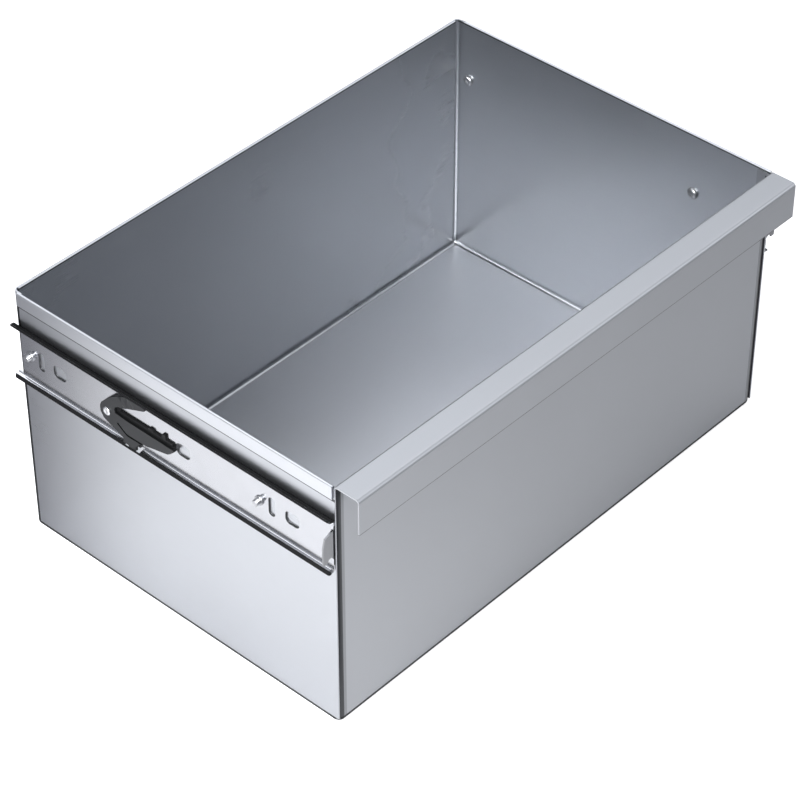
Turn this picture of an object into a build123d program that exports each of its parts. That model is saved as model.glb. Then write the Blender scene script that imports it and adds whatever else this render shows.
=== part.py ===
from build123d import *
import os
from math import cos, radians, sin

# A stainless steel storage drawer: a tub of folded sheet, a grip along the top of its front, and on
# each side the drawer member of a telescopic slide with its release lever.
# Millimetres. +X is right as seen from the front, +Y is to the rear and +Z is up.
# The origin is under the middle of the whole drawer, grip included, on the plane that it stands on.
# The left side is modelled and mirrored.

# Tub
drawer_width = 532.0
drawer_depth = 350.0
drawer_height = 250.0
sheet = 1.2
hem_height = 13.0
hem_gap = 0.4
hem_front_setback = 2.0
hem_end_gap = 1.0
bend = 3.5
base_flange = 18.0
floor_corner = 5.0
rear_return = 20.0
front_return = 14.0
mitre_gap = 0.5
seam_clearance = 0.3
lap_clearance = 0.05
wall_front_setback = 0.4
overrun = 5.0

# Grip, folded in one piece with the front
grip_reach = 24.0
grip_drop = 34.0
grip_root_bend = 1.2
grip_nose_bend = 2.2

# Slide members, as long as the tub. Places along them are shares of that length from the front.
member_height = 55.0
member_depth = 7.0
member_sheet = 1.5
member_drop = 59.0
member_front_setback = 1.0
web_bend = 1.2
race_angle = 50.0
lip_corner = 2.0
slot_width = 6.8
slot_height = 18.5
slot_rise = 0.8
oblong_length = 14.5
oblong_height = 12.3
oblong_corner = 4.2
web_rear_setback = 7.0
slot_ahead = 13.0
oblong_ahead = 34.5
middle_oblong_share = 0.457

# Stop tab at the front end of each member
tab_reach = 12.5
tab_rise = 16.5
tab_shoulder_rise = 12.5
tab_shoulder_inset = 2.0
tab_side_rise = 4.5
tab_fall = 13.0
tab_bend = 1.0
tab_relief = 3.4
tab_round = 1.2

# Screws, put in from inside, and the nuts outside
screw_shares = (0.223, 0.954)
thread_radius = 3.0
thread_fit = 0.03
screw_hole_clearance = 0.25
head_radius = 5.4
head_height = 3.2
head_chamfer = 1.8
socket_flats = 4.0
socket_depth = 1.8
screw_end = 4.0
nut_radius = 4.4
nut_height = 1.3

# Release levers
pivot_share = 0.689
pivot_fall = 1.6
lever_length = 76.0
lever_thickness = 3.8
lever_clearance = 0.2
lever_corner = 0.7
hub_radius = 8.0
rebate_depth = 2.2
rebate_end = 3.4
catch_slit = 2.0
catch_engagement = 2.0
catch_foot = 8.0
heel_width = 6.5
heel_clearance = 0.2
notch_clearance = 4.5
notch_lip = 1.3
spring_clearance = 0.2
spring_tip_round = 1.0

# Lever rivets
rivet_radius = 3.0
rivet_running_clearance = 0.06
rivet_tail_radius = 2.4
rivet_fit = 0.02
rivet_head_radius = 4.0
rivet_head_height = 1.3

# Outlines of the lever, seen from outside the drawer and measured forwards and upwards from the
# pivot. The first number is a share of the lever's length, the second a share of half the channel.
lever_front_shares = [
    (0.160, 0.440),
    (0.134, 0.322),
    (0.160, 0.204),
    (0.580, 0.204),
    (0.590, 0.275),
    (0.645, 0.275),
    (0.659, 0.200),
    (0.777, 0.200),
    (0.788, 0.375),
    (0.832, 0.375),
    (0.840, 0.196),
    (0.935, 0.196),
    (0.935, 0.073),
    (0.977, 0.041),
    (0.980, -0.010),
    (0.918, -0.188),
    (0.881, -0.265),
    (0.759, -0.351),
    (0.628, -0.444),
    (0.545, -0.514),
]
lever_catch_shares = [(0.460, -0.624), (0.400, -0.836)]
lever_heel_shares = [
    (0.234, -0.775),
    (0.167, -0.652),
    (0.036, -0.506),
    (-0.059, -0.383),
    (-0.103, -0.171),
    (-0.103, 0.073),
    (-0.084, 0.228),
    (0.045, 0.628),
]
spring_root_shares = [(0.274, 0.553), (0.178, 0.898)]
spring_back_shares = [(0.233, 0.962), (0.299, 1.044)]
spring_tip_shares = [(0.570, 1.044), (0.586, 0.970)]
spring_belly_shares = [(0.545, 0.905), (0.430, 0.758), (0.320, 0.622)]
rebate_shares = [(0.114, 0.118), (0.299, 0.073), (0.693, 0.061), (0.957, 0.049)]
slit_shares = [(0.138, -0.281), (0.270, -0.575), (0.600, -0.575)]

# Values that follow from the sizes above
left_face = -drawer_width / 2
overall_depth = grip_reach + member_front_setback + drawer_depth
front_face = grip_reach - overall_depth / 2
rear_face = front_face + drawer_depth
wall_inner_x = left_face + sheet
front_inner_y = front_face + sheet
back_inner_y = rear_face - 2 * sheet
hem_radius = sheet + hem_gap / 2
bend_outer = bend + sheet
grip_root_outer = grip_root_bend + sheet
member_middle_z = drawer_height - member_drop
member_front_y = front_face + member_front_setback
member_rear_y = member_front_y + drawer_depth
race_radius = (member_depth - member_sheet - web_bend) / sin(radians(race_angle))
race_fall = race_radius * (1 - cos(radians(race_angle)))
channel_half = member_height / 2 - race_fall - member_sheet * cos(radians(race_angle))
pivot_y = front_face + pivot_share * drawer_depth
pivot_z = member_middle_z - pivot_fall
screw_ys = [front_face + share * drawer_depth for share in screw_shares]


def outward(distance):
    """X of a point that far out from the left wall's outer face."""
    return left_face - distance


def folded(path, thickness, side, plane, length):
    """Sheet bent along a path and run for a length square to its plane."""
    profile = make_face(offset(Wire(path.edges()), amount=thickness, side=side))
    return extrude(plane * profile, amount=length)


def block(low, high):
    """Box between two corners, used for cuts."""
    size = [top - bottom for bottom, top in zip(low, high)]
    middle = [(top + bottom) / 2 for bottom, top in zip(low, high)]
    return Pos(*middle) * Box(*size)


def hem(inner, top, direction):
    """Closed hem: up the inside face, over the top and down outside. Direction is -1 or 1."""
    centre = (inner + direction * hem_radius, top - hem_radius)
    far = inner + 2 * direction * hem_radius
    turn = CenterArc(centre, hem_radius, 0 if direction < 0 else 180, -180 * direction)
    return turn.edges() + Line((far, top - hem_radius), (far, top - hem_height)).edges()


def mitre(corner_x, corner_y, across):
    """Plan wedge that clears the base flange of the wall on the far side of a corner's diagonal."""
    run = base_flange + overrun
    sign_x = 1 if corner_x < 0 else -1
    sign_y = 1 if corner_y < 0 else -1
    start = (corner_x, corner_y)
    diagonal = (corner_x + sign_x * run, corner_y + sign_y * run)
    beside = (corner_x + sign_x * run, corner_y) if across else (corner_x, corner_y + sign_y * run)
    wedge = make_face(Polyline(start, diagonal, beside, close=True))
    shift = mitre_gap / 2 * (1 if across else -1)
    return Pos(0, sign_y * shift, -overrun) * extrude(wedge, amount=overrun + bend_outer)


def corner_cap(centre_x, centre_y):
    """Rounded lower corner of the tub, an eighth of a hollow ball, for the corners on the left."""
    ends_y = sorted((0, bend_outer if centre_y > 0 else -bend_outer))
    eighth = block((-bend_outer, ends_y[0], -bend_outer), (0, ends_y[1], 0))
    return Pos(centre_x, centre_y, bend_outer) * ((Sphere(bend_outer) - Sphere(bend)) & eighth)


def side_wall():
    """Left side: hem along the top, flange along the bottom, and a bend round the rear corner."""
    rise = FilletPolyline(
        (left_face + base_flange, sheet),
        (wall_inner_x, sheet),
        (wall_inner_x, drawer_height - hem_radius),
        radius=bend,
    )
    path = Curve(rise.edges() + hem(wall_inner_x, drawer_height, -1))
    front_y = front_face + wall_front_setback
    bend_y = rear_face - bend_outer
    wall = folded(path, sheet, Side.LEFT, Plane.XZ.offset(-bend_y), bend_y - front_y)

    turn = FilletPolyline(
        (wall_inner_x, bend_y - overrun),
        (wall_inner_x, rear_face - sheet),
        (left_face + rear_return, rear_face - sheet),
        radius=bend,
    )
    corner_height = drawer_height - bend_outer
    corner = folded(turn, sheet, Side.LEFT, Plane.XY.offset(bend_outer), corner_height)
    wall += corner

    hem_inner_x = left_face - hem_gap
    hem_low_z = drawer_height - hem_height - overrun
    for low_y, high_y in (
        (front_y - overrun, front_face + hem_front_setback),
        (bend_y - hem_end_gap, rear_face + overrun),
    ):
        low = (hem_inner_x - 2 * sheet, low_y, hem_low_z)
        wall -= block(low, (left_face, high_y, drawer_height + overrun))
    grip_clear_z = drawer_height - grip_root_outer - seam_clearance
    wall -= block(
        (left_face - overrun, front_y - overrun, grip_clear_z),
        (left_face + overrun, front_inner_y + seam_clearance, drawer_height + overrun),
    )
    wall -= mitre(left_face, front_face, True)
    wall -= mitre(left_face, rear_face, True)
    wall -= block(
        (left_face - overrun, front_y - overrun, -overrun),
        (left_face + bend_outer + lap_clearance, front_face + bend_outer, bend_outer),
    )
    wall -= slide_screw_holes(overrun)
    return wall + corner_cap(left_face + bend_outer, bend_y)


def slide_screw_holes(depth):
    """Clearance holes for the two slide screws on the left, to each side of the wall's face."""
    radius = thread_radius + screw_hole_clearance
    hole = Rot(0, 90, 0) * Cylinder(radius, 2 * depth)
    return [Pos(left_face, y, member_middle_z) * hole for y in screw_ys]


def back_wall():
    """Rear sheet, inside the side walls' returns, with its hem between them."""
    half_width = drawer_width / 2 - bend_outer
    rise = FilletPolyline(
        (back_inner_y - base_flange, sheet),
        (back_inner_y, sheet),
        (back_inner_y, drawer_height - hem_radius),
        radius=bend,
    )
    path = Curve(rise.edges() + hem(back_inner_y, drawer_height, 1))
    wall = folded(path, sheet, Side.RIGHT, Plane.YZ.offset(-half_width), 2 * half_width)
    hem_half = drawer_width / 2 - rear_return - hem_end_gap
    for low_x, high_x in ((-half_width - overrun, -hem_half), (hem_half, half_width + overrun)):
        low = (low_x, back_inner_y + sheet, drawer_height - hem_height - overrun)
        wall -= block(low, (high_x, rear_face + overrun, drawer_height + overrun))
    for corner_x in (left_face, -left_face):
        wall -= mitre(corner_x, rear_face, False)
    return wall


def front_panel():
    """Front sheet: base flange, face, and the grip's ledge and flap at the top."""
    grip_y = front_face - grip_reach
    path = FilletPolyline(
        (front_inner_y + base_flange, sheet),
        (front_inner_y, sheet),
        (front_inner_y, drawer_height),
        (grip_y, drawer_height),
        (grip_y, drawer_height - grip_drop),
        radius=[bend, grip_root_outer, grip_nose_bend + sheet],
    )
    panel = folded(path, sheet, Side.LEFT, Plane.YZ.offset(left_face), drawer_width)

    return_x = wall_inner_x + lap_clearance
    face_end_x = return_x + bend_outer
    face_top_z = drawer_height - grip_root_outer
    turn = FilletPolyline(
        (return_x + sheet, front_face + front_return),
        (return_x + sheet, front_inner_y),
        (face_end_x + overrun, front_inner_y),
        radius=bend,
    )
    edge = folded(turn, sheet, Side.RIGHT, Plane.XY.offset(bend_outer), face_top_z - bend_outer)
    for direction in (1, -1):
        ends = sorted((direction * (left_face - overrun), direction * face_end_x))
        low = (ends[0], front_face - sheet, -overrun)
        panel -= block(low, (ends[1], front_face + base_flange + overrun, face_top_z))
    for corner_x in (left_face, -left_face):
        panel -= mitre(corner_x, front_face, False)
    edge += corner_cap(face_end_x, front_face + bend_outer)
    return panel + [edge, mirror(edge, about=Plane.YZ)]


def floor_panel():
    """Flat floor, laid on the base flanges inside the four walls."""
    gap = bend + seam_clearance
    low = (wall_inner_x + gap, front_inner_y + gap, sheet)
    panel = block(low, (-wall_inner_x - gap, back_inner_y - gap, 2 * sheet))
    return fillet(panel.edges().filter_by(Axis.Z), floor_corner)


def web_plane(distance):
    """Plane at a distance out from the left wall, with X forwards and Y up, facing outwards."""
    return Plane(origin=(outward(distance), 0, 0), x_dir=(0, -1, 0), z_dir=(-1, 0, 0))


def slide_channel():
    """Web with a raceway flange above and below, half of it drawn along the channel's face."""
    web_x = outward(member_sheet)
    web = Line((web_x, member_middle_z), (web_x, member_middle_z + channel_half - web_bend))
    turn = JernArc(web @ 1, (0, 1), web_bend, 90)
    race = JernArc(turn @ 1, (-1, 0), race_radius, -race_angle)
    path = Curve([*web.edges(), *turn.edges(), *race.edges()])
    upper = folded(path, member_sheet, Side.RIGHT, Plane.XZ.offset(-member_rear_y), drawer_depth)
    return upper + mirror(upper, about=Plane.XY.offset(member_middle_z))


def slide_member():
    """Left drawer member: channel with its holes, catch notch, trimmed lips and stop tab."""
    member = slide_channel()
    member -= extrude(web_plane(0) * member_holes(), amount=overrun)
    member -= slide_screw_holes(member_sheet + overrun)
    member -= catch_notch()
    member -= [lip_trim(end_y) for end_y in (member_front_y, member_rear_y)]
    web_half = channel_half - web_bend
    member -= block(
        (outward(member_sheet), member_rear_y - web_rear_setback, member_middle_z - web_half),
        (outward(0), member_rear_y + overrun, member_middle_z + web_half),
    )
    member -= block(
        (outward(member_depth), member_front_y - overrun, member_middle_z - tab_fall),
        (outward(0), member_front_y + tab_bend + member_sheet, member_middle_z + tab_rise),
    )
    return member + stop_tab()


def lip_trim(end_y):
    """Wedge off the free corners of both flanges at one end of the member."""
    inward = lip_corner if end_y < 0 else -lip_corner
    tip_x = outward(member_depth)
    corner = Polyline((tip_x, end_y), (tip_x, end_y + inward), (tip_x + lip_corner, end_y), close=True)
    low_z = member_middle_z - member_height / 2
    return extrude(Plane.XY.offset(low_z) * make_face(corner), amount=member_height)


def member_holes():
    """Slots and oblong holes of the web, on the plane of the wall's face."""
    slot = SlotOverall(slot_height, slot_width, rotation=90)
    oblong = RectangleRounded(oblong_length, oblong_height, oblong_corner)
    middle_z = member_middle_z + slot_rise
    holes = [Pos(-front_face - middle_oblong_share * drawer_depth, middle_z) * oblong]
    for y in screw_ys:
        holes.append(Pos(-y + slot_ahead, middle_z) * slot)
        holes.append(Pos(-y + oblong_ahead, middle_z) * oblong)
    holes.append(Pos(-pivot_y, pivot_z) * Circle(rivet_tail_radius + rivet_fit))
    return Sketch() + holes


def stop_tab():
    """Tab bent outwards at the member's front end."""
    root = tab_bend + member_sheet
    turn = FilletPolyline(
        (outward(member_sheet), member_front_y + root + overrun),
        (outward(member_sheet), member_front_y + member_sheet),
        (outward(tab_reach), member_front_y + member_sheet),
        radius=tab_bend,
    )
    low_z = member_middle_z - tab_fall
    tab = folded(turn, member_sheet, Side.LEFT, Plane.XY.offset(low_z), tab_fall + tab_rise)
    shoulder_x = outward(tab_reach - tab_shoulder_inset)
    outline = Polyline(
        (outward(tab_reach) - overrun, member_middle_z + tab_side_rise),
        (outward(tab_reach), member_middle_z + tab_side_rise),
        (shoulder_x, member_middle_z + tab_shoulder_rise),
        (outward(member_sheet), member_middle_z + tab_rise),
        (outward(member_sheet), member_middle_z + tab_rise + overrun),
        (outward(tab_reach) - overrun, member_middle_z + tab_rise + overrun),
        close=True,
    )
    corner = extrude(Plane.XZ.offset(-member_front_y - root) * make_face(outline), amount=root + overrun)
    relief_x = outward(member_sheet + tab_relief)
    relief = Pos(relief_x, member_front_y, low_z) * Rot(90, 0, 0) * Cylinder(tab_relief, 2 * root)
    tab -= [corner, relief]
    outer_corner = tab.edges().filter_by(Axis.Y).filter_by_position(Axis.X, shoulder_x - tab_reach, shoulder_x)
    return fillet(outer_corner.sort_by(Axis.Z)[0], tab_round)


def lever_points(shares):
    """Points of the lever's outline from its tables of shares."""
    return [(forward * lever_length, up * channel_half) for forward, up in shares]


def pivot_plane(distance):
    """Plane at the lever's pivot, a distance out from the wall, with X forwards and Y up."""
    return Plane(origin=(outward(distance), pivot_y, pivot_z), x_dir=(0, -1, 0), z_dir=(-1, 0, 0))


def catch_points():
    """Foot of the catch, through the lower flange, and the heel behind it that rests on the flange."""
    floor = pivot_fall - channel_half
    foot_front = lever_points(lever_catch_shares)[-1][0]
    foot_rear = foot_front - catch_foot
    foot = [(foot_front, floor - catch_engagement), (foot_rear, floor - catch_engagement)]
    heel = [(foot_rear, floor + heel_clearance), (foot_rear - heel_width, floor + heel_clearance)]
    return foot + heel


def catch_notch():
    """Window in the lower flange for the catch's foot, leaving the flange's lip whole."""
    front, rear = [pivot_y - point[0] for point in catch_points()[:2]]
    low_z = member_middle_z - member_height / 2 - overrun
    high_z = member_middle_z - channel_half + web_bend
    low = (outward(member_depth - notch_lip), front - notch_clearance, low_z)
    return block(low, (outward(member_sheet), rear + notch_clearance, high_z))


def release_lever():
    """Left lever: hub, long body with two thumb nubs, and a sprung catch below it."""
    outline = FilletPolyline(
        *lever_points(spring_root_shares[:1]),
        *lever_points(lever_front_shares),
        *lever_points(lever_catch_shares),
        *catch_points(),
        *lever_points(lever_heel_shares),
        *lever_points(spring_root_shares[1:]),
        radius=lever_corner,
        close=True,
    )
    back = member_sheet + lever_clearance
    body = make_face(outline) + Circle(hub_radius)
    body -= slit_sketch()
    body -= Circle(rivet_radius + rivet_running_clearance)
    lever = extrude(pivot_plane(back) * body, amount=lever_thickness)
    low = (outward(member_sheet + web_bend + lever_clearance), pivot_y - lever_length, pivot_z - member_height)
    bend_top = member_middle_z - channel_half + web_bend
    lever -= block(low, (outward(0), pivot_y, bend_top + lever_clearance))
    return lever - lever_rebate(back + lever_thickness)


def slit_sketch():
    """Narrow slit that frees the catch from the body."""
    centre = FilletPolyline(*lever_points(slit_shares), radius=hub_radius)
    return make_face(offset(Wire(centre.edges()), amount=catch_slit, side=Side.LEFT))


def lever_rebate(face):
    """Step along the upper edge of the lever's outer face."""
    low_edge = lever_points(rebate_shares)
    top = channel_half
    outline = Polyline(
        *low_edge,
        (lever_length + overrun, low_edge[-1][1]),
        (lever_length + overrun, top),
        lever_points(spring_root_shares)[0],
        close=True,
    )
    start = low_edge[0]
    region = make_face(outline) + Pos(start[0] + rebate_end, start[1] + rebate_end) * Circle(rebate_end)
    return extrude(pivot_plane(face - rebate_depth) * region, amount=rebate_depth + overrun)


def lever_spring():
    """Springy upper arm of the left lever, up against the upper flange."""
    seat = channel_half + pivot_fall - spring_clearance
    highest = max(up for _, up in spring_back_shares)
    lift = seat - highest * channel_half
    raised = [
        (forward, up + lift)
        for forward, up in lever_points(spring_back_shares + spring_tip_shares + spring_belly_shares)
    ]
    root_low, root_high = lever_points(spring_root_shares)
    outline = FilletPolyline(root_high, *raised, root_low, radius=spring_tip_round)
    closing = Line(root_low, root_high)
    face = make_face(outline.edges() + closing.edges())
    back = member_sheet + web_bend
    depth = member_sheet + lever_clearance + lever_thickness - back
    return extrude(pivot_plane(back) * face, amount=depth) - release_lever()


def lever_rivet():
    """Shouldered rivet: tail in the web, shoulder in the hub and a flat head."""
    shoulder_length = lever_thickness + 2 * lever_clearance
    head_start = member_sheet + shoulder_length
    tail = extrude(pivot_plane(0) * Circle(rivet_tail_radius), amount=member_sheet)
    shoulder = extrude(pivot_plane(member_sheet) * Circle(rivet_radius), amount=shoulder_length)
    head = extrude(pivot_plane(head_start) * Circle(rivet_head_radius), amount=rivet_head_height)
    return tail + shoulder + head


def slide_screws():
    """Two button-head screws with hexagon sockets, from inside, whose ends stand out of the web."""
    shank_length = sheet + member_sheet + nut_height + screw_end
    screws = []
    for y in screw_ys:
        plane = Plane(origin=(wall_inner_x, y, member_middle_z), x_dir=(0, 1, 0), z_dir=(1, 0, 0))
        head = extrude(plane * Circle(head_radius), amount=head_height)
        head = chamfer(head.faces().sort_by(Axis.X)[-1].edges(), head_chamfer)
        socket = RegularPolygon(socket_flats / 2, 6, major_radius=False)
        head -= extrude(plane.offset(head_height - socket_depth) * socket, amount=overrun)
        shank = extrude(plane * Circle(thread_radius), amount=-shank_length)
        screws.append(head + shank)
    return Compound(screws)


def slide_nuts():
    """Two round nuts on the outside of the left slide member's web."""
    nuts = []
    for y in screw_ys:
        plane = web_plane(member_sheet) * Pos(-y, member_middle_z)
        ring = Circle(nut_radius) - Circle(thread_radius + thread_fit)
        nuts.append(extrude(plane * ring, amount=nut_height))
    return Compound(nuts)


def main():
    os.makedirs("parts", exist_ok=True)
    pieces = {
        "floor_panel": floor_panel(),
        "back_wall": back_wall(),
        "front_panel": front_panel(),
    }
    left_pieces = {
        "side_wall": side_wall(),
        "slide_member": slide_member(),
        "release_lever": release_lever(),
        "lever_spring": lever_spring(),
        "lever_rivet": lever_rivet(),
        "slide_screws": slide_screws(),
        "slide_nuts": slide_nuts(),
    }
    for name, piece in left_pieces.items():
        pieces["left_" + name] = piece
        pieces["right_" + name] = mirror(piece, about=Plane.YZ)
    for name, piece in pieces.items():
        export_step(piece, os.path.join("parts", name + ".step"))


main()
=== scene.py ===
import math

import bpy
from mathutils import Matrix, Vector


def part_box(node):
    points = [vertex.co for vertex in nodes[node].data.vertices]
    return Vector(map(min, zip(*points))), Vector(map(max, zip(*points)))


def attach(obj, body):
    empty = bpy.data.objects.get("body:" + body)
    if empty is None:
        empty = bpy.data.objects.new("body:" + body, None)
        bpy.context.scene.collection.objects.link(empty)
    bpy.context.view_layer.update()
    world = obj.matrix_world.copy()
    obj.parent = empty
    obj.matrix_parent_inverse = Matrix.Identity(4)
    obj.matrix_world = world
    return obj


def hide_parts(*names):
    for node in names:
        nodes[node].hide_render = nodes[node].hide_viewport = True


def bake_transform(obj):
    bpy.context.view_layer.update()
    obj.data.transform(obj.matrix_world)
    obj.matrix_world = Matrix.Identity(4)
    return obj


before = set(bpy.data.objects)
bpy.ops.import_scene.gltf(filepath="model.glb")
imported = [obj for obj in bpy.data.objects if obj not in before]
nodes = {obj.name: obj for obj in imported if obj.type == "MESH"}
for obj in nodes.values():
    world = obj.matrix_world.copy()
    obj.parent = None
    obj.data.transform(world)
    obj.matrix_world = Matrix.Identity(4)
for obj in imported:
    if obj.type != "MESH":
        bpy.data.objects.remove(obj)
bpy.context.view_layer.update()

# Looks of the stainless storage drawer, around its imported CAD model. Metres, +X right, +Y to the rear.
SIDES = ("left", "right")

# Camera, as in the photograph: seen from the front left and from above
CAMERA_PLACE = (-1.447, -1.3006, 1.7102)
CAMERA_YAW = 0.8334
CAMERA_FALL = 40.04
CAMERA_LENS = 135.0
CAMERA_SENSOR = 36.0
CAMERA_NEAR = 0.05

# Fasteners, as in the CAD model
MEMBER_SHEET = 0.0015
RIVET_TAIL_RADIUS = 0.0024
RIVET_RADIUS = 0.003
RIVET_HEAD_RADIUS = 0.004
RIVET_HEAD = 0.0013
RIVET_RIM = 0.0003
THREAD_RADIUS = 0.003
THREAD_PITCH = 0.001
THREAD_TURNS = 6
SCREW_HEAD = 0.0032
SOCKET_RADIUS = 0.0023
SOCKET_DEPTH = 0.0018
THREAD_END_SHARE = 0.76
THREAD_CREST_SHARE = 0.98
THREAD_ROOT_SHARE = 0.85
THREAD_POINT = 0.0006
DOME_TOP = 0.45
SCREW_SEAT_SHARE = 0.97
SCREW_RIM = 0.0008
SCREW_UNDERCUT = 0.0003
NUT_BEVEL = 0.0004
BORE_SHARE = 1.01
DIMPLE_RADII = (0.0014, 0.0009)
DIMPLE_DEPTHS = (0.0002, 0.0003)
CUTTER_OVERRUN = 0.001
SPRING_CUTS = 14
WELD = 0.000001

# Grain of the metals, in waves a metre, and depths of their reliefs
BRUSH_ACROSS = 2600.0
BRUSH_ALONG = 22.0
BRUSH_DEPTH = 0.00002
SHEET_PATCHES = 7.0
ZINC_CLOUDS = 30.0
ZINC_PITS = 1800.0
PIT_DEPTH = 0.00001
NYLON_TEXTURE = 2500.0
NYLON_TEXTURE_DEPTH = 0.00004
NYLON_SCUFFS = 90.0
SHEET_TONES = (0.92, 1.06)
SHEET_GRAIN_SHARE = 0.35
SHEET_SPREAD = 0.08
ZINC_TONES = (0.9, 1.06)
ZINC_SPREAD = 0.12
NYLON_TONES = (0.8, 1.3)
NYLON_ROUGHNESS = 0.32
NYLON_SPREAD = 0.2

# Places on the slides, as in the CAD model, where their colour carries dull cut edges, painted shade and a painted
# highlight. Reach is the distance from the middle plane
WEB_REACH = (0.26605, 0.26745)
WEB_HEIGHT = (0.172, 0.211)
EDGE_REACH = 0.27175
EDGE_HEIGHT = 0.2174
GROOVE_REACH = (0.2660, 0.2711)
GROOVE_HEIGHT = 0.2146
LIP_REACH = (0.2703, 0.2735)
LIP_HEIGHT = 0.1690
ROOT_REACH = (0.2678, 0.2703)
ROOT_HEIGHT = (0.1630, 0.1690)
TAB_REACH = 0.2677
TAB_DEPTH = -0.1598
LEVER_FACE_REACH = 0.27145

# Shades of those places, as shares of the plain colour: a painted highlight on the flange root, darker cut edges,
# partly painted shade, a darker stop tab, and painted shade on the lips, grooves and the lever's recesses
ROOT_PAINTED_HIGHLIGHT = 1.25
TAB_SHADE = 0.5
CUT_SHADE = 0.12
LIP_SHADE = 0.04
CUT_ROUGHNESS = 0.35
RECESS_SHADE = 0.35

# Painted light on the tub's sheets, in thin lines: painted shadow under the hem, painted highlights on the hem and
# rims, painted shade lines beside the rims, painted contact shadow at the foot of the walls and painted shade along
# their upright edges
GROUND = -0.0010
FOOT = (GROUND, 0.0058)
HEM_LOW = 0.2370
# Painted shadow line on the wall just under the hem's lower edge
HEM_SHADOW_LINE = (HEM_LOW - 0.0027, HEM_LOW + 0.0001)
RIM_LINE = (0.2478, 0.2491)
RIM_TOP = (0.2491, 0.2510)
RIM_EDGE = (0.2488, 0.2510)
HEM_REACH = (0.2659, 0.2700)
WALL_REACH = (0.2650, 0.2700)
FACE_HEIGHT = (GROUND, 0.2450)
# Painted light on the side walls, in order: painted shadow under the hem, painted highlight on the hem, painted
# shade line inside the rim, painted highlight on the rim top, painted dark outline along the right wall's rim,
# painted contact shadow at the foot and painted shade along the rear bend
SIDE_PAINTED_LIGHT = (
    {"reach": HEM_REACH, "height": HEM_SHADOW_LINE, "shade": 0.2},
    {"reach": HEM_REACH, "height": (HEM_SHADOW_LINE[1], RIM_TOP[1]), "shade": 1.16},
    {"reach": (0.2640, 0.2653), "height": RIM_LINE, "shade": 0.3},
    {"height": RIM_TOP, "shade": 1.25},
    {"across": (0.2668, 0.2700), "height": RIM_EDGE, "shade": 0.4},
    {"reach": WALL_REACH, "height": FOOT, "shade": 0.08},
    {"reach": WALL_REACH, "depth": (0.1808, 0.1880), "height": (GROUND, HEM_LOW), "shade": 0.12},
)
# Painted light on the back wall: painted shade line inside the rim, painted highlight on the rim top, painted dark
# outline along the rim's outer edge and painted contact shadow at the foot
BACK_PAINTED_LIGHT = (
    {"depth": (0.1830, 0.1846), "height": RIM_LINE, "shade": 0.3},
    {"height": RIM_TOP, "shade": 1.3},
    {"depth": (0.1862, 0.1880), "height": RIM_EDGE, "shade": 0.4},
    {"depth": (0.1855, 0.1880), "height": FOOT, "shade": 0.08},
)
# Painted light on the front panel: painted highlight on the ledge top, painted shade line along the flap's lower
# edge, painted shade along both upright bends and painted contact shadow at the foot
FRONT_PAINTED_LIGHT = (
    {"depth": (-0.1880, -0.1625), "height": (0.2486, 0.2510), "shade": 1.09},
    {"depth": (-0.1880, -0.1855), "height": (0.2155, 0.2166), "shade": 0.4},
    {"reach": (0.2570, 0.2600), "depth": (-0.1640, -0.1600), "height": FACE_HEIGHT, "shade": 0.7},
    {"reach": (0.2600, 0.2652), "depth": (-0.1640, -0.1580), "height": FACE_HEIGHT, "shade": 0.2},
    {"depth": (-0.1640, -0.1625), "height": FOOT, "shade": 0.08},
)

# Metal and plastic colours
TUB_COLOUR = (0.652, 0.67, 0.702)
SLIDE_COLOUR = (0.70, 0.71, 0.74)
RIVET_COLOUR = (0.85, 0.86, 0.88)
SCREW_COLOUR = (0.62, 0.63, 0.65)
NUT_COLOUR = (0.55, 0.56, 0.58)
NYLON_COLOUR = (0.024, 0.025, 0.027)

# Sky and floor. The sky's ranges are parts of its direction, and the floor's are metres
SKY_DARK = (0.05, 0.052, 0.06)
SKY_HAZE = (0.45, 0.46, 0.48)
SKY_HAZE_TOP = (0.18, 0.42)
SKY_BRIGHT = (1.30, 1.33, 1.39)
SKY_HEIGHT = (0.50, 0.60)
SKY_TOP = (0.85, 0.95)
SKY_BEHIND = (-0.45, 0.35)
SKY_AHEAD = (-0.55, 0.0)
SKY_RIGHT = (0.0, 0.45)
SKY_LOW = (0.05, 0.30)
SKY_FRONT = 0.85
SKY_DEEP = 0.3
SKY_DEPTH = 2.5
WHITE = (1.0, 1.0, 1.0)
BLACK = (0.0, 0.0, 0.0)
FLOOR_COLOUR = (0.92, 0.92, 0.93)
# Colour of the floor's painted shade, as metal sees it
FLOOR_DARK = (0.20, 0.20, 0.22)
FLOOR_SIZE = 14.0
FLOOR_SPECKLE = 3.0
FLOOR_SPECKLE_TONE = 1.02
# Where the floor's painted shade and painted contact shadow lie, in metres
FLOOR_CORNER = -0.2
FLOOR_SLOPE = 0.908
FLOOR_FADE = (-0.20, 0.02)
FLOOR_REACH = (3.0, 6.0)
FLOOR_BEHIND = (-0.24, -0.12)
FLOOR_BESIDE = (-0.34, -0.20)
FLOOR_BEFORE = (-0.24, -0.16)
FOOT_START = (-0.36, -0.27)
FOOT_END = (0.20, 0.26)
FOOT_BACK = (-0.24, -0.05)
FOOT_SHADE = 0.25
CAMERA_GLOW = 0.7
GLOSSY_GLOW = 0.02


class Signal:
    """A shader socket. Python's operators on it add Math nodes."""

    def __init__(self, finish, socket):
        self.finish = finish
        self.socket = socket

    def _math(self, operation, first, second):
        return self.finish.add("ShaderNodeMath", {"operation": operation}, {0: first, 1: second})

    def __add__(self, other):
        return self._math("ADD", self, other)

    def __radd__(self, other):
        return self._math("ADD", other, self)

    def __sub__(self, other):
        return self._math("SUBTRACT", self, other)

    def __rsub__(self, other):
        return self._math("SUBTRACT", other, self)

    def __mul__(self, other):
        return self._math("MULTIPLY", self, other)

    def __rmul__(self, other):
        return self._math("MULTIPLY", other, self)

    def __gt__(self, other):
        return self._math("GREATER_THAN", self, other)


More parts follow.
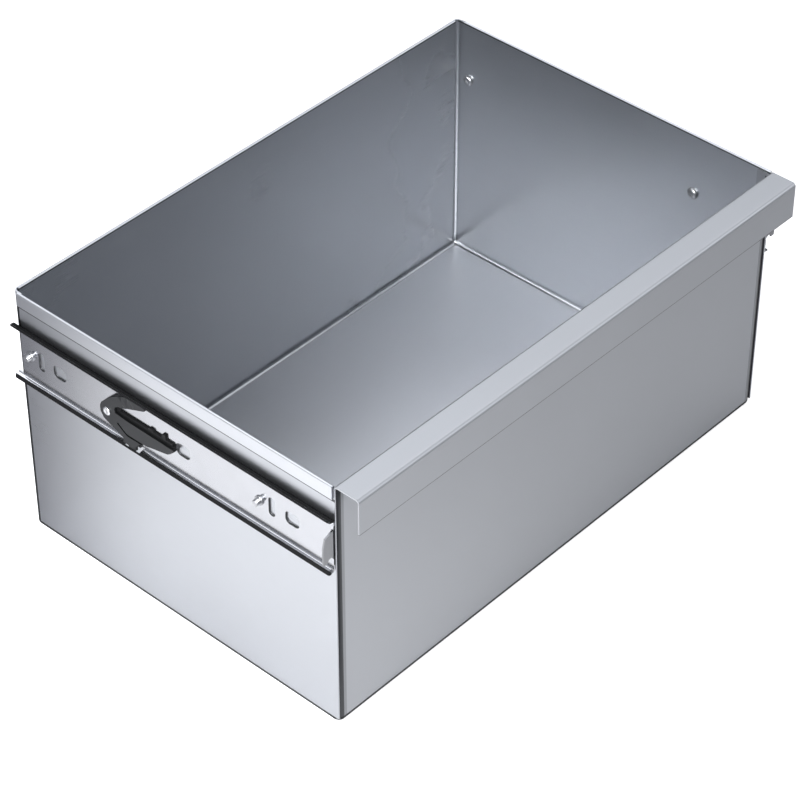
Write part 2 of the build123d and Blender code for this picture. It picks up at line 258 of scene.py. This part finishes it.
class Shading:
    """A node tree, with short ways to add its nodes."""

    def __init__(self, tree):
        self.tree = tree

    def fill(self, node, inputs):
        for key, value in inputs.items():
            if isinstance(value, Signal):
                self.tree.links.new(value.socket, node.inputs[key])
            else:
                node.inputs[key].default_value = value

    def add(self, kind, settings, inputs, output=0):
        """Adds a node: its settings first, then the values or links of its sockets."""
        node = self.tree.nodes.new(kind)
        for key, value in settings.items():
            setattr(node, key, value)
        self.fill(node, inputs)
        return Signal(self, node.outputs[output])

    def place(self, scale=(1.0, 1.0, 1.0)):
        """Object coordinates, stretched by a scale on each axis."""
        point = self.add("ShaderNodeTexCoord", {}, {}, "Object")
        return self.add("ShaderNodeMapping", {}, {"Vector": point, "Scale": scale})

    def noise(self, scale, detail=2.0, roughness=0.5):
        """Noise from 0 to 1, with that many waves a metre, in one number or one for each axis."""
        if isinstance(scale, float):
            scale = (scale, scale, scale)
        inputs = {"Vector": self.place(scale), "Scale": 1.0, "Detail": detail, "Roughness": roughness}
        return self.add("ShaderNodeTexNoise", {}, inputs)

    def blend(self, share, first, second):
        """Colour between two others, each a triple or a link."""
        ends = [end if isinstance(end, Signal) else (*end, 1.0) for end in (first, second)]
        return self.add("ShaderNodeMix", {"data_type": "RGBA"}, {0: share, 6: ends[0], 7: ends[1]}, 2)

    def reach(self):
        """Distance from the drawer's middle plane."""
        x = self.part(self.place(), "X")
        return self.add("ShaderNodeMath", {"operation": "ABSOLUTE"}, {0: x})

    def within(self, value, low, high):
        """1 between the limits, and 0 elsewhere."""
        return (value > low) * (1.0 - (value > high))

    def ramp(self, value, start, end):
        """0 below the start, 1 above the end, smooth between them."""
        inputs = {"Value": value, "From Min": start, "From Max": end}
        return self.add("ShaderNodeMapRange", {"interpolation_type": "SMOOTHSTEP"}, inputs)

    def part(self, vector, axis):
        """One axis of a vector."""
        return self.add("ShaderNodeSeparateXYZ", {}, {"Vector": vector}, axis)

    def bump(self, height, depth, strength):
        """Normal for a relief of that depth in metres."""
        return self.add("ShaderNodeBump", {}, {"Height": height, "Distance": depth, "Strength": strength})


class Finish(Shading):
    """A material on one Principled shader."""

    def __init__(self, name, constants):
        self.material = bpy.data.materials.new(name)
        self.material.use_nodes = True
        super().__init__(self.material.node_tree)
        self.shader = self.tree.nodes["Principled BSDF"]
        self.fill(self.shader, constants)

    def show(self, inputs):
        self.fill(self.shader, inputs)
        return self.material


def tint(colour, factor):
    return tuple(channel * factor for channel in colour)


def brushed_sheet(name, colour, roughness, grain, painted_light=(), brushing=1.0):
    """Rolled stainless sheet: fine grain along one axis, with faint cloudy patches.

    Each painted box is a place where the sheet is painted darker, as painted shade, or lighter, as a painted
    highlight, with its shade. Reach is the distance from the middle plane, and across, depth and height are X, Y and
    Z.
    Brushing is how much of the grain shows.
    """
    finish = Finish(name, {"Metallic": 1.0})
    lines = finish.noise([BRUSH_ALONG if axis == grain else BRUSH_ACROSS for axis in "XYZ"], 3.0, 0.6)
    lines = lines * brushing + 0.5 * (1.0 - brushing)
    patches = finish.noise(SHEET_PATCHES, 3.0)
    shade = lines * SHEET_GRAIN_SHARE + patches * (1.0 - SHEET_GRAIN_SHARE)
    base = finish.blend(shade, *[tint(colour, tone) for tone in SHEET_TONES])
    point = finish.place()
    measures = {
        "reach": finish.reach(),
        "across": finish.part(point, "X"),
        "depth": finish.part(point, "Y"),
        "height": finish.part(point, "Z"),
    }
    # Painted shade and painted highlights, box by box
    for painted_box in painted_light:
        inside = 1.0
        for key, measure in measures.items():
            if key in painted_box:
                inside = finish.within(measure, *painted_box[key]) * inside
        base = finish.blend(inside, base, tint(colour, painted_box["shade"]))
    return finish.show({
        "Base Color": base,
        "Roughness": lines * SHEET_SPREAD + patches * SHEET_SPREAD + (roughness - SHEET_SPREAD),
        "Normal": finish.bump(lines, BRUSH_DEPTH, 0.2),
    })


def zinc_plate(name, colour, roughness, with_cut_edges_and_painted_light=False):
    """Bright zinc plating: soft clouds, fine pits and a slight blue cast.

    With cut edges and painted light, for the slide members: dull cut edges in the web, darkened partly as painted
    shade, painted black shade on the lips and grooves of the flanges, a painted highlight on the root of the lower
    flange and a darker stop tab.
    """
    finish = Finish(name, {"Metallic": 1.0})
    clouds = finish.noise(ZINC_CLOUDS, 4.0, 0.6)
    pits = finish.noise(ZINC_PITS)
    base = finish.blend(clouds, *[tint(colour, tone) for tone in ZINC_TONES])
    rough = clouds * ZINC_SPREAD + (roughness - ZINC_SPREAD / 2)
    if with_cut_edges_and_painted_light:
        reach = finish.reach()
        point = finish.place()
        depth, height = finish.part(point, "Y"), finish.part(point, "Z")
        # Cut edges of the web's holes: dull sheared edges, darkened partly as painted shade
        web = finish.within(reach, *WEB_REACH) * finish.within(height, *WEB_HEIGHT)
        # Painted black shade on the upper flange's edge and groove and on the lower flange's lip
        edge = (reach > EDGE_REACH) * (height > EDGE_HEIGHT)
        groove = finish.within(reach, *GROOVE_REACH) * (height > GROOVE_HEIGHT)
        # Painted highlight on the root of the lower flange
        root = finish.within(reach, *ROOT_REACH) * finish.within(height, *ROOT_HEIGHT)
        lip = finish.within(reach, *LIP_REACH) * (1.0 - (height > LIP_HEIGHT))
        painted_black_shade = edge + groove + lip
        cut = web + painted_black_shade
        base = finish.blend(root, base, tint(colour, ROOT_PAINTED_HIGHLIGHT))
        tab = (reach > TAB_REACH) * (1.0 - (depth > TAB_DEPTH))
        base = finish.blend(tab, base, tint(colour, TAB_SHADE))
        # Darker cut edges, partly painted shade, then the painted black shade over the lips and grooves
        base = finish.blend(cut, base, tint(colour, CUT_SHADE))
        base = finish.blend(painted_black_shade, base, tint(colour, LIP_SHADE))
        rough = rough + cut * CUT_ROUGHNESS
    return finish.show({
        "Base Color": base,
        "Roughness": rough,
        "Normal": finish.bump(pits, PIT_DEPTH, 0.15),
    })


def moulded_plastic(name, colour):
    """Black moulded nylon with a fine spark-eroded texture, and painted shade in its recesses."""
    finish = Finish(name, {"Metallic": 0.0, "Specular IOR Level": 0.22})
    texture = finish.noise(NYLON_TEXTURE)
    scuffs = finish.noise(NYLON_SCUFFS, 4.0, 0.65)
    face = finish.blend(scuffs, *[tint(colour, tone) for tone in NYLON_TONES])
    # Painted shade in the recesses: all that lies behind the lever's outer face is darker
    recess = 1.0 - (finish.reach() > LEVER_FACE_REACH)
    return finish.show({
        "Base Color": finish.blend(recess, face, tint(colour, RECESS_SHADE)),
        "Roughness": scuffs * NYLON_SPREAD + NYLON_ROUGHNESS,
        "Normal": finish.bump(texture, NYLON_TEXTURE_DEPTH, 0.5),
    })


def paint(material, *names):
    """Gives CAD nodes a material in their own slots."""
    for name in names:
        for slot in nodes[name].material_slots:
            slot.material = material


def both(name):
    return [side + "_" + name for side in SIDES]


def finish_nodes():
    """Finishes of the CAD nodes."""
    paint(brushed_sheet("tub_sides", TUB_COLOUR, 0.30, "Y", SIDE_PAINTED_LIGHT), *both("side_wall"))
    # The back wall is a darker copy of the tub's steel, as painted shade
    paint(brushed_sheet("tub_back", tint(TUB_COLOUR, 0.85), 0.28, "X", BACK_PAINTED_LIGHT, 0.1), "back_wall")
    # The floor panel is a lighter copy of the tub's steel, as painted light
    paint(brushed_sheet("tub_floor", tint(TUB_COLOUR, 1.25), 0.50, "X"), "floor_panel")
    # The front panel is a darker copy of the tub's steel, as painted shade, with a rougher satin finish
    paint(brushed_sheet("front_satin", tint(TUB_COLOUR, 0.83), 0.38, "X", FRONT_PAINTED_LIGHT), "front_panel")
    paint(zinc_plate("slide_zinc", SLIDE_COLOUR, 0.18, True), *both("slide_member"))
    paint(moulded_plastic("lever_nylon", NYLON_COLOUR), *both("release_lever"), *both("lever_spring"))


def clear_selection():
    """Leaves nothing selected, because an operator acts on all that is."""
    if bpy.context.object and bpy.context.object.mode == "EDIT":
        bpy.ops.object.mode_set(mode="OBJECT")
    bpy.ops.object.select_all(action="DESELECT")


def settle(piece, name, smooth_degrees=35.0):
    """Names a modelled piece, puts its place into its mesh, turns its faces outwards and shades it."""
    clear_selection()
    piece.name = name
    piece.data.name = name
    piece.select_set(True)
    bpy.context.view_layer.objects.active = piece
    bpy.ops.object.transform_apply(location=True, rotation=True, scale=True)
    bpy.ops.object.mode_set(mode="EDIT")
    bpy.ops.mesh.select_all(action="SELECT")
    bpy.ops.mesh.remove_doubles(threshold=WELD)
    bpy.ops.mesh.normals_make_consistent(inside=False)
    bpy.ops.object.mode_set(mode="OBJECT")
    bpy.ops.object.shade_smooth_by_angle(angle=math.radians(smooth_degrees))
    return piece


def turned(y, z, stations, sides=48):
    """Round piece about a line along X, extruded from station to station. Each station is an X and a radius."""
    clear_selection()
    first_x, radius = stations[0]
    bpy.ops.mesh.primitive_circle_add(
        vertices=sides, radius=radius, fill_type="NGON", location=(first_x, y, z), rotation=(0, math.pi / 2, 0))
    piece = bpy.context.active_object
    bpy.ops.object.transform_apply(location=True, rotation=True, scale=True)
    bpy.ops.object.mode_set(mode="EDIT")
    bpy.ops.mesh.select_all(action="SELECT")
    x = first_x
    for next_x, next_radius in stations[1:]:
        bpy.ops.mesh.extrude_region_move(TRANSFORM_OT_translate={"value": (next_x - x, 0, 0)})
        ratio = next_radius / radius
        bpy.ops.transform.resize(value=(1, ratio, ratio), center_override=(next_x, y, z))
        x, radius = next_x, next_radius
    bpy.ops.object.mode_set(mode="OBJECT")
    return piece


def joined(pieces):
    """Joins pieces into the first."""
    clear_selection()
    for piece in pieces:
        piece.select_set(True)
    bpy.context.view_layer.objects.active = pieces[0]
    bpy.ops.object.join()
    return pieces[0]


def apply_modifier(piece, kind, settings):
    """Adds a modifier with those settings to a piece and applies it."""
    clear_selection()
    piece.select_set(True)
    bpy.context.view_layer.objects.active = piece
    modifier = piece.modifiers.new(kind.lower(), kind)
    for key, value in settings.items():
        setattr(modifier, key, value)
    bpy.ops.object.modifier_apply(modifier=modifier.name)


def pair_of_fasteners(node):
    """Radius, Y places and height of a node's two fasteners."""
    low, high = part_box(node)
    radius = (high.z - low.z) / 2
    return radius, (low.y + radius, high.y - radius), (low.z + high.z) / 2


def out_from(node, side, inner_end=True):
    """X of a node's end nearest the drawer's middle, or furthest from it, and the outward direction."""
    low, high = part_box(node)
    ends = sorted((low.x, high.x), key=abs)
    return ends[0 if inner_end else 1], -1 if side == "left" else 1


def domed(start, outward, radius, height, steps=6):
    """Stations of a dome that is that high and that wide at its rim."""
    stations = []
    for step in range(steps + 1):
        turn = math.pi / 2 * step / steps
        width = DOME_TOP + (1.0 - DOME_TOP) * math.cos(turn)
        stations.append((start + outward * height * math.sin(turn), radius * width))
    return stations


def lever_rivet(side, material):
    """Domed rivet on its shoulder, with a small dimple from the closing tool."""
    node = side + "_lever_rivet"
    low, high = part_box(node)
    y, z = (low.y + high.y) / 2, (low.z + high.z) / 2
    inner, out = out_from(node, side)
    tail_end = inner + out * MEMBER_SHEET
    head_start = inner + out * (high.x - low.x - RIVET_HEAD)
    stations = [(inner, RIVET_TAIL_RADIUS), (tail_end, RIVET_TAIL_RADIUS), (tail_end, RIVET_RADIUS),
                (head_start, RIVET_RADIUS), (head_start, RIVET_HEAD_RADIUS)]
    stations += domed(head_start + out * RIVET_RIM, out, RIVET_HEAD_RADIUS, RIVET_HEAD - RIVET_RIM)
    top = stations[-1][0]
    stations += [(top - out * depth, radius) for depth, radius in zip(DIMPLE_DEPTHS, DIMPLE_RADII)]
    piece = settle(turned(y, z, stations), side + "_rivet")
    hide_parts(node)
    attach(piece, "drawer")
    piece.data.materials.append(material)


def slide_screws(side, material):
    """Two button-head screws from inside, with hexagon sockets, whose threaded ends stand out of the web."""
    node = side + "_slide_screws"
    radius, places, z = pair_of_fasteners(node)
    top, out = out_from(node, side)
    tip, _ = out_from(node, side, False)
    seat = top + out * SCREW_HEAD
    crest = THREAD_RADIUS * THREAD_CREST_SHARE
    screws = []
    for y in places:
        stations = [(tip, THREAD_RADIUS * THREAD_END_SHARE), (tip - out * THREAD_POINT, crest)]
        for turn in range(THREAD_TURNS):
            groove = tip - out * (THREAD_POINT + THREAD_PITCH * (turn + 0.5))
            stations += [(groove, THREAD_RADIUS * THREAD_ROOT_SHARE), (groove - out * THREAD_PITCH / 2, crest)]
        stations += [(seat, crest), (seat, radius * SCREW_SEAT_SHARE), (seat - out * SCREW_UNDERCUT, radius)]
        stations += domed(seat - out * SCREW_RIM, -out, radius, SCREW_HEAD - SCREW_RIM, 8)
        screw = turned(y, z, stations)
        ends = (top - out * CUTTER_OVERRUN, top + out * SOCKET_DEPTH)
        socket = turned(y, z, [(end, SOCKET_RADIUS) for end in ends], 6)
        apply_modifier(screw, "BOOLEAN", {"operation": "DIFFERENCE", "object": socket, "solver": "EXACT"})
        bpy.data.objects.remove(socket)
        screws.append(screw)
    piece = settle(joined(screws), side + "_button_screws")
    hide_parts(node)
    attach(piece, "drawer")
    piece.data.materials.append(material)


def slide_nuts(side, material):
    """Two round nuts on the web's outer face, with a bevelled rim round the thread."""
    node = side + "_slide_nuts"
    radius, places, z = pair_of_fasteners(node)
    seat, out = out_from(node, side)
    top, _ = out_from(node, side, False)
    nuts = []
    for y in places:
        nut = turned(y, z, [(seat, radius), (top - out * NUT_BEVEL, radius), (top, radius - NUT_BEVEL)])
        ends = (seat - out * CUTTER_OVERRUN, top + out * CUTTER_OVERRUN)
        bore = turned(y, z, [(end, THREAD_RADIUS * BORE_SHARE) for end in ends])
        apply_modifier(nut, "BOOLEAN", {"operation": "DIFFERENCE", "object": bore, "solver": "EXACT"})
        bpy.data.objects.remove(bore)
        nuts.append(nut)
    piece = settle(joined(nuts), side + "_round_nuts")
    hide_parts(node)
    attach(piece, "drawer")
    piece.data.materials.append(material)


def spring_arm(side, material):
    """Springy upper arm, whose root is on the lever and whose tip rests on the slide's flange: a copy of the CAD
    node, cut across into slices along its length.
    """
    node = side + "_lever_spring"
    clear_selection()
    arm = nodes[node].copy()
    arm.data = nodes[node].data.copy()
    arm.parent = None
    for key in list(arm.keys()):
        del arm[key]
    bpy.context.scene.collection.objects.link(arm)
    low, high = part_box(node)
    arm.select_set(True)
    bpy.context.view_layer.objects.active = arm
    bpy.ops.object.mode_set(mode="EDIT")
    bpy.ops.mesh.select_all(action="SELECT")
    bpy.ops.mesh.remove_doubles(threshold=WELD)
    for cut in range(1, SPRING_CUTS):
        bpy.ops.mesh.select_all(action="SELECT")
        y = low.y + (high.y - low.y) * cut / SPRING_CUTS
        bpy.ops.mesh.bisect(plane_co=(0, y, 0), plane_no=(0, 1, 0))
    bpy.ops.object.mode_set(mode="OBJECT")
    arm = settle(arm, side + "_spring_arm")
    arm.data.materials.clear()
    arm.data.materials.append(material)
    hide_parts(node)
    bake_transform(arm)


def fittings():
    """Modelled pieces that stand in for the plain ones of the CAD model."""
    nylon = moulded_plastic("spring_nylon", NYLON_COLOUR)
    rivet_zinc = zinc_plate("rivet_zinc", RIVET_COLOUR, 0.25)
    screw_zinc = zinc_plate("screw_zinc", SCREW_COLOUR, 0.30)
    nut_zinc = zinc_plate("nut_zinc", NUT_COLOUR, 0.32)
    for side in SIDES:
        lever_rivet(side, rivet_zinc)
        slide_screws(side, screw_zinc)
        slide_nuts(side, nut_zinc)
        spring_arm(side, nylon)


def lamp(name, place, target, size, power):
    """Soft rectangular studio lamp that faces its target."""
    data = bpy.data.lights.new(name, "AREA")
    data.shape = "RECTANGLE"
    data.size, data.size_y = size
    data.energy = power
    lamp_object = bpy.data.objects.new(name, data)
    bpy.context.scene.collection.objects.link(lamp_object)
    lamp_object.visible_camera = False
    lamp_object.location = place
    lamp_object.rotation_euler = (Vector(target) - Vector(place)).to_track_quat("-Z", "Y").to_euler()


def studio_floor():
    """Pale floor. Straight to the camera it is white, and metal sees painted shade on it behind the drawer, a
    painted contact shadow at its foot and painted shade off its front left corner.
    """
    bpy.ops.mesh.primitive_plane_add(size=FLOOR_SIZE)
    floor = bpy.context.active_object
    floor.name = "studio_floor"
    finish = Finish("studio_floor", {"Roughness": 0.9, "Specular IOR Level": 0.1, "Emission Strength": 1.0})
    speckle = finish.noise(FLOOR_SPECKLE)
    point = finish.place()
    x, y = finish.part(point, "X"), finish.part(point, "Y")
    leftward = finish.add("ShaderNodeMath", {"operation": "MINIMUM"}, {0: x, 1: FLOOR_CORNER})
    distance = finish.add("ShaderNodeVectorMath", {"operation": "LENGTH"}, {0: point}, "Value")
    # Painted shade, seen by metal, on the floor behind the drawer
    behind = finish.ramp(x, *FLOOR_BEHIND)
    lit = 1.0 - finish.ramp(y + FLOOR_SLOPE * leftward, *FLOOR_FADE) * (1.0 - behind)
    lit = lit * (1.0 - finish.ramp(distance, *FLOOR_REACH))
    # Painted contact shadow at the drawer's foot
    foot = finish.ramp(x, *FOOT_START) * (1.0 - finish.ramp(x, *FOOT_END)) * finish.ramp(y, *FOOT_BACK)
    lit = lit * (1.0 - foot * FOOT_SHADE)
    # Painted shade off the drawer's front left corner
    beside = finish.ramp(x, *FLOOR_BESIDE)
    before = finish.ramp(y, *FLOOR_BEFORE)
    lit = lit * (1.0 - (1.0 - beside) * (1.0 - before))
    camera_ray = finish.add("ShaderNodeLightPath", {}, {}, "Is Camera Ray")
    glossy_ray = finish.add("ShaderNodeLightPath", {}, {}, "Is Glossy Ray")
    pale = finish.blend(speckle, FLOOR_COLOUR, tint(FLOOR_COLOUR, FLOOR_SPECKLE_TONE))
    dark = finish.blend(speckle, FLOOR_DARK, tint(FLOOR_DARK, FLOOR_SPECKLE_TONE))
    base = finish.blend(glossy_ray * (1.0 - lit), pale, dark)
    glow = camera_ray * CAMERA_GLOW + glossy_ray * lit * GLOSSY_GLOW
    floor.data.materials.append(finish.show({
        "Base Color": base,
        "Emission Color": finish.blend(glow, BLACK, WHITE),
    }))


def studio_sky():
    """Sky with a pale haze at the horizon, bright high behind the drawer and low at the front right.

    Straight to the camera it is white, and light of later bounces is dimmed.
    """
    world = bpy.data.worlds.new("studio_world")
    bpy.context.scene.world = world
    world.use_nodes = True
    sky = Shading(world.node_tree)
    direction = sky.add("ShaderNodeTexCoord", {}, {}, "Generated")
    x, y, height = [sky.part(direction, axis) for axis in "XYZ"]
    right = sky.ramp(x, *SKY_RIGHT)
    ahead = 1.0 - sky.ramp(y, *SKY_AHEAD)
    low = sky.ramp(height, *SKY_LOW) * right * ahead * SKY_FRONT
    band = sky.ramp(height, *SKY_HEIGHT) * (1.0 - sky.ramp(height, *SKY_TOP))
    behind = sky.ramp(y, *SKY_BEHIND)
    bounces = sky.add("ShaderNodeLightPath", {}, {}, "Ray Depth")
    deep = 1.0 - (bounces > SKY_DEPTH) * (1.0 - SKY_DEEP)
    share = (band * behind + low) * deep
    dim = sky.blend(sky.ramp(height, *SKY_HAZE_TOP), SKY_HAZE, SKY_DARK)
    light = sky.blend(share, dim, SKY_BRIGHT)
    seen = sky.add("ShaderNodeLightPath", {}, {}, "Is Camera Ray")
    sky.fill(world.node_tree.nodes["Background"], {"Color": sky.blend(seen, light, WHITE)})


def studio():
    """Pale floor, sky and soft lamps."""
    studio_floor()
    studio_sky()
    middle = (0.0, 0.0, 0.1)
    lamp("top_lamp", (0.2, 0.3, 2.6), middle, (2.0, 2.0), 5.0)
    lamp("left_lamp", (-1.3, -0.35, 0.8), (-0.35, 0.0, 0.0), (0.8, 0.8), 24.0)


def camera():
    """Camera in the photograph's direction."""
    data = bpy.data.cameras.new("camera")
    data.lens = CAMERA_LENS
    data.sensor_width = CAMERA_SENSOR
    data.clip_start = CAMERA_NEAR
    view = bpy.data.objects.new("camera", data)
    bpy.context.scene.collection.objects.link(view)
    view.location = CAMERA_PLACE
    view.rotation_euler = (math.radians(90.0 - CAMERA_FALL), 0.0, -CAMERA_YAW)
    bpy.context.scene.camera = view


camera()
studio()
finish_nodes()
fittings()
bpy.context.scene.view_settings.view_transform = "Standard"
